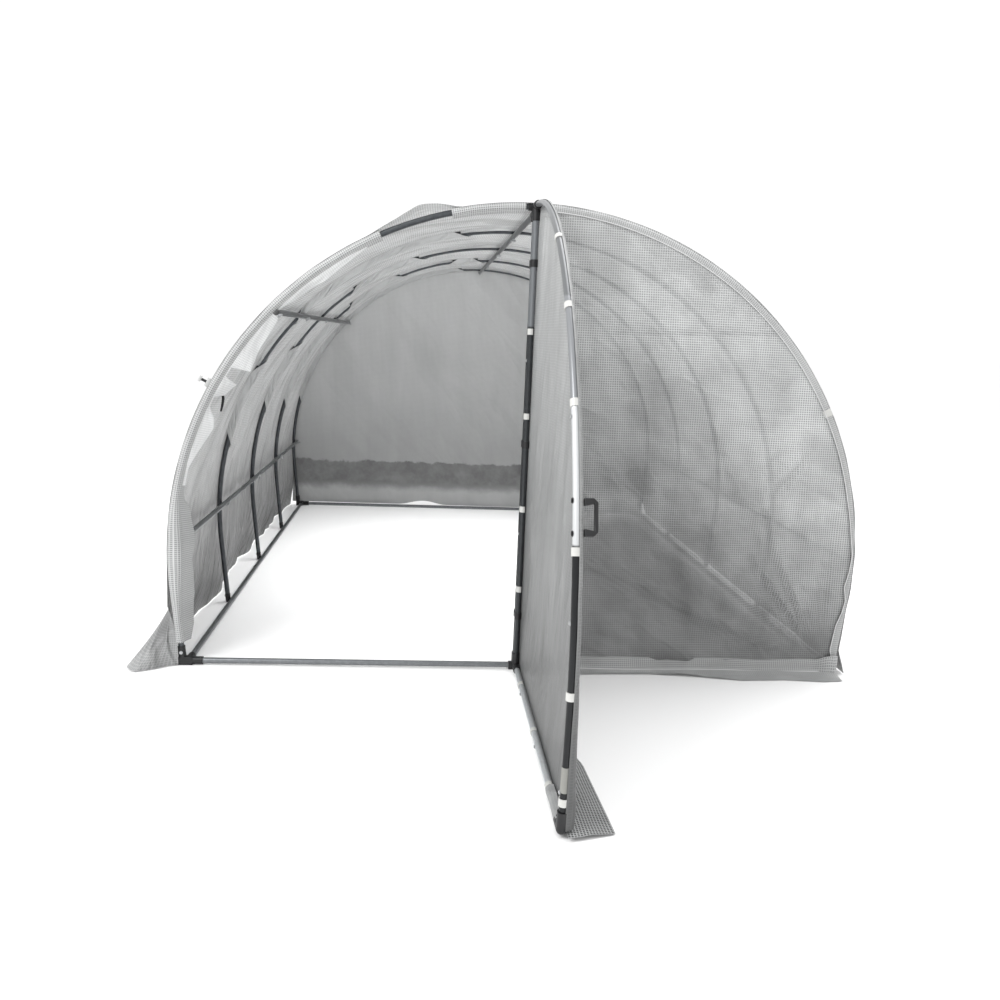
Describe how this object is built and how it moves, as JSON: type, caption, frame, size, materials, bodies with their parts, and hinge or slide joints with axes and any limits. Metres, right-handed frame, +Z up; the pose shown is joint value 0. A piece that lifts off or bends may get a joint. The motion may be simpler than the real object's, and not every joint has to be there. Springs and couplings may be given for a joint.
{
  "type": "polytunnel greenhouse",
  "caption": "Walk-in polytunnel greenhouse: bent steel hoops and straight tubes under translucent film, with a fixed front panel and one hinged D-shaped door leaf.",
  "frame": {"origin": "ground level under the centre post of the front hoop, on the front hoop's plane", "axes": "+X to the right across the front, +Y into the tunnel along its length, +Z up"},
  "size_m": [3.197, 5.6068, 2.0043],
  "materials": {
    "steel_tube": "galvanised, satin",
    "film": "translucent woven film",
    "film_hem": "translucent woven film, hemmed",
    "white_clip": "moulded",
    "black_fitting": "moulded, satin"
  },
  "bodies": {
    "frame": {"apex_clamp": "black_fitting", "back_skirt": "film_hem", "back_wall": "film", "base_rail_back": "steel_tube", "base_rail_front": "steel_tube", "base_rail_left": "steel_tube", "base_rail_right": "steel_tube", "centre_post": "steel_tube", "corner_foot_back_left": "black_fitting", "corner_foot_back_right": "black_fitting", "corner_foot_front_left": "black_fitting", "corner_foot_front_right": "black_fitting", "cover_roof": "film", "cover_side_left": "film", "cover_side_right": "film", "front_clips": "white_clip", "front_panel": "film", "front_skirt": "film_hem", "hinge_clip_bottom": "black_fitting", "hinge_clip_middle": "black_fitting", "hinge_clip_top": "black_fitting", "hoop_back": "steel_tube", "hoop_fourth": "steel_tube", "hoop_front": "steel_tube", "hoop_middle": "steel_tube", "hoop_second": "steel_tube", "lower_purlin_left": "steel_tube", "lower_purlin_right": "steel_tube", "post_foot": "black_fitting", "ridge_purlin": "steel_tube", "skirt_left": "film_hem", "skirt_right": "film_hem", "upper_purlin_left": "steel_tube", "upper_purlin_right": "steel_tube"},
    "door_leaf": {"door_bottom_rail": "steel_tube", "door_corner_hinge": "black_fitting", "door_corner_outer": "black_fitting", "door_corner_top": "black_fitting", "door_film": "film", "door_flap": "film_hem", "door_handle": "black_fitting", "door_rail_clips": "white_clip", "door_rim": "steel_tube", "door_rim_clips": "white_clip", "door_stile": "steel_tube", "door_stile_clips": "white_clip"}
  },
  "joints": [
    {"name": "door_hinge", "type": "hinge", "parent": "frame", "child": "door_leaf", "pos_m": [0, -0.044, 0], "axis": [0, 0, 1], "range_deg": [-90, 60]}
  ]
}
